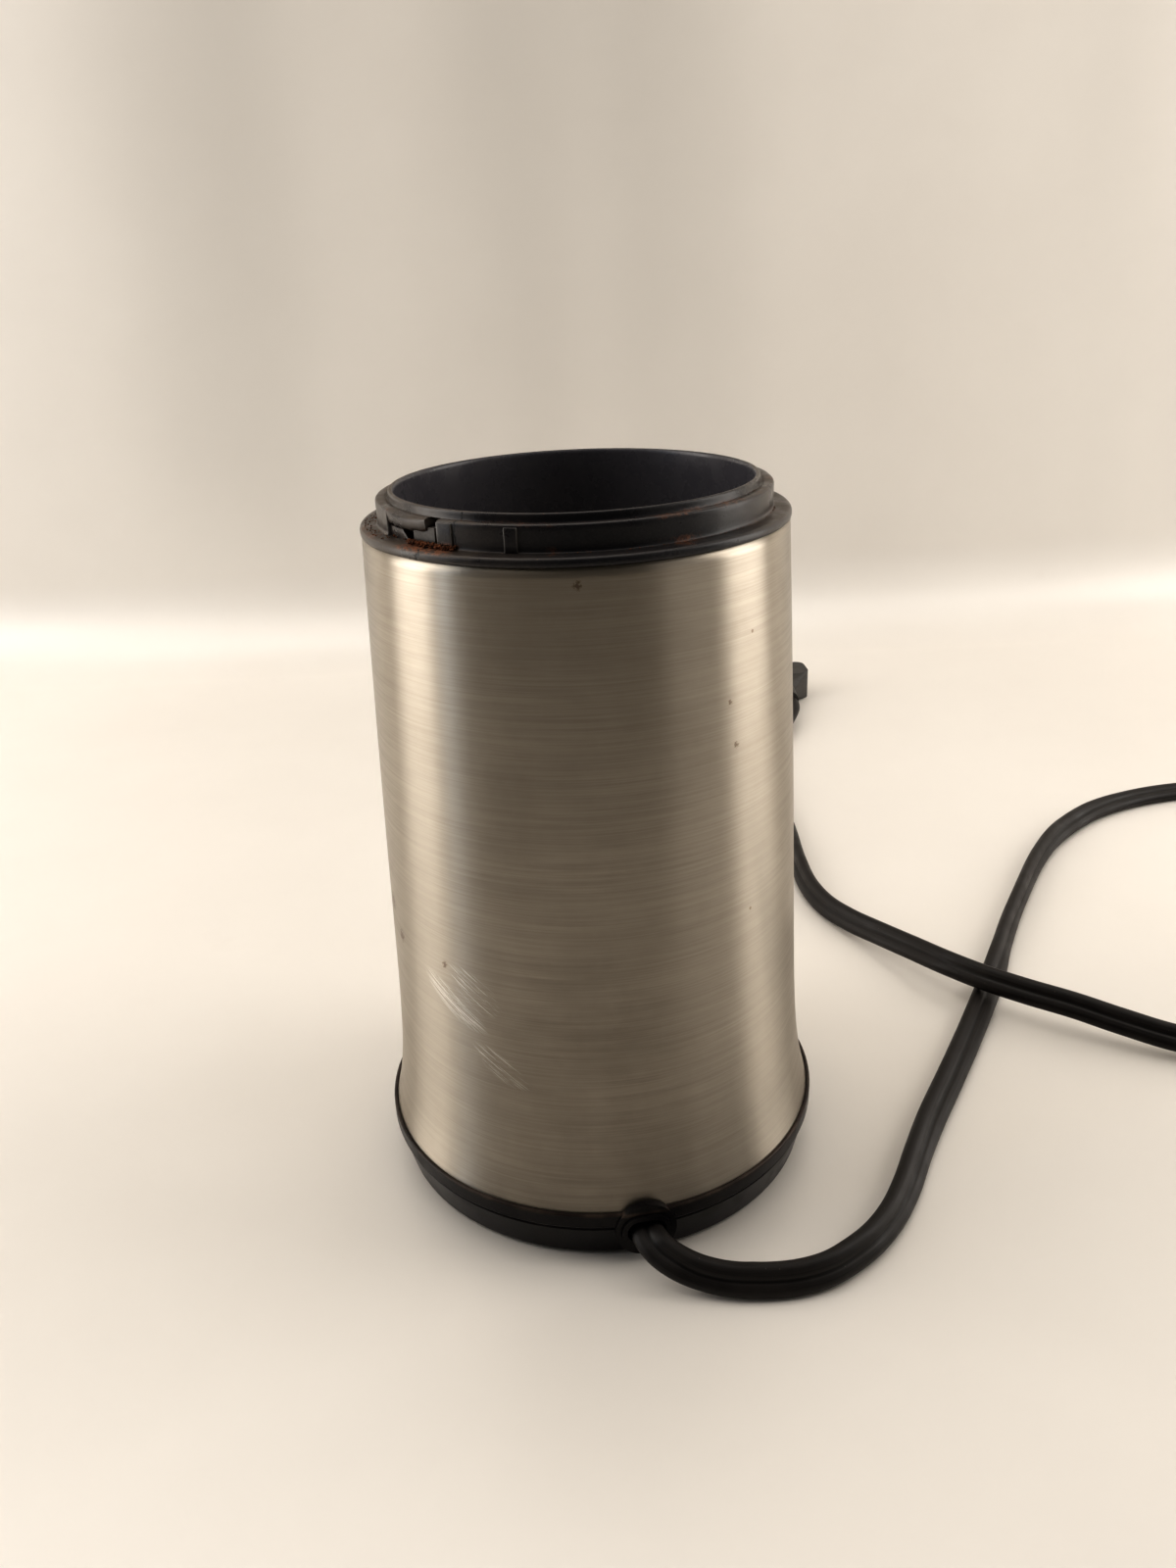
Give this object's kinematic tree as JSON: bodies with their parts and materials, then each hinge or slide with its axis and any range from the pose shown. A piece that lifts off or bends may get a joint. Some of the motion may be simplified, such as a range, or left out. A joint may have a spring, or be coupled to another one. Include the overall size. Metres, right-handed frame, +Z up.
{
  "type": "blade coffee grinder base",
  "caption": "Blade coffee grinder base without its lid: tapered brushed steel sleeve, open cup with chopping blade, lid collar with push-rod interlock, base ring and mains cord.",
  "frame": {"origin": "bottom centre of the body, on the motor shaft's axis, at the plane that the rubber feet stand on", "axes": "+Z up along the motor shaft, -Y towards the cord outlet, +X to its right seen from the outlet's side"},
  "size_m": [0.3548, 0.377, 0.1575],
  "materials": {
    "brushed_steel": "fine circumferential brushing, lightly scratched",
    "black_housing": "worn satin black, dusty with coffee",
    "bowl_steel": "polished, stained",
    "black_rubber": "matt",
    "blade_steel": "ground",
    "brass": "plain",
    "nut_steel": "bright",
    "shaft_steel": "ground",
    "lamination_steel": "stacked sheets",
    "enamelled_wire": "lacquered copper wire",
    "copper": "turned copper bars",
    "fan_plastic": "plain",
    "bracket_zinc": "pressed",
    "bronze": "sintered, oily",
    "zinc_steel": "zinc plated",
    "carbon": "pressed carbon",
    "spring_steel": "drawn wire",
    "rod_plastic": "moulded",
    "switch_plastic": "moulded",
    "button_red": "moulded",
    "base_plastic": "satin black",
    "cord_vinyl": "soft vinyl",
    "clamp_plastic": "moulded",
    "lead_brown": "vinyl",
    "lead_white": "vinyl",
    "lead_black": "vinyl",
    "plug_vinyl": "moulded vinyl",
    "pan_plastic": "satin black"
  },
  "bodies": {
    "base": {"steel_sleeve": "brushed_steel", "top_housing": "black_housing", "grinding_bowl": "bowl_steel", "shaft_seal": "black_rubber", "stator_core": "lamination_steel", "stator_coil_left": "enamelled_wire", "stator_coil_right": "enamelled_wire", "upper_bracket": "bracket_zinc", "lower_bracket": "bracket_zinc", "upper_bearing": "bronze", "lower_bearing": "bronze", "bearing_retainers": "zinc_steel", "brush_holder_left": "brass", "brush_holder_right": "brass", "carbon_brush_left": "carbon", "carbon_brush_right": "carbon", "brush_spring_left": "spring_steel", "brush_spring_right": "spring_steel", "motor_screws": "zinc_steel", "rubber_mounts": "black_rubber", "mount_screws": "zinc_steel", "interlock_spring": "spring_steel", "switch_body": "switch_plastic", "lever_pin": "zinc_steel", "switch_screws": "zinc_steel", "base_ring": "base_plastic", "bottom_pan": "pan_plastic", "base_screws": "zinc_steel", "rubber_feet": "black_rubber", "cord_bushing": "black_rubber", "cord_clamp": "clamp_plastic", "clamp_screws": "zinc_steel", "lead_live": "lead_brown", "lead_neutral": "lead_white", "lead_switched": "lead_black", "cord": "cord_vinyl", "plug_body": "plug_vinyl", "plug_blades": "brass"},
    "rotor": {"rotor_shaft": "shaft_steel", "blade": "blade_steel", "blade_spacer": "brass", "blade_nut": "nut_steel", "armature_core": "lamination_steel", "armature_winding": "enamelled_wire", "commutator": "copper", "cooling_fan": "fan_plastic"},
    "push_rod": {"interlock_rod": "rod_plastic"},
    "switch_lever": {"switch_lever": "spring_steel"},
    "switch_button": {"switch_button": "button_red"}
  },
  "joints": [
    {"name": "rotor_spin", "type": "hinge", "parent": "base", "child": "rotor", "pos_m": [0, 0, 0.1], "axis": [0, 0, 1], "continuous": true},
    {"name": "push_rod_slide", "type": "slide", "parent": "base", "child": "push_rod", "axis": [0, 0, -1], "range_m": [0, 0.0035], "stiffness_N_per_m": 400, "springref_m": -0.004, "deforming": ["interlock_spring"]},
    {"name": "switch_lever_turn", "type": "hinge", "parent": "base", "child": "switch_lever", "pos_m": [-0.03943, -0.00966, 0.08914], "axis": [0.9053, 0.4248, 0], "range_deg": [0, 12.7]},
    {"name": "switch_button_slide", "type": "slide", "parent": "base", "child": "switch_button", "axis": [0, 0, -1], "range_m": [0, 0.00088]}
  ],
  "couplings": [
    {"joint": "switch_lever_turn", "follows": "push_rod_slide", "rad_per_m": 62.5},
    {"joint": "switch_button_slide", "follows": "push_rod_slide", "ratio": 0.25}
  ]
}
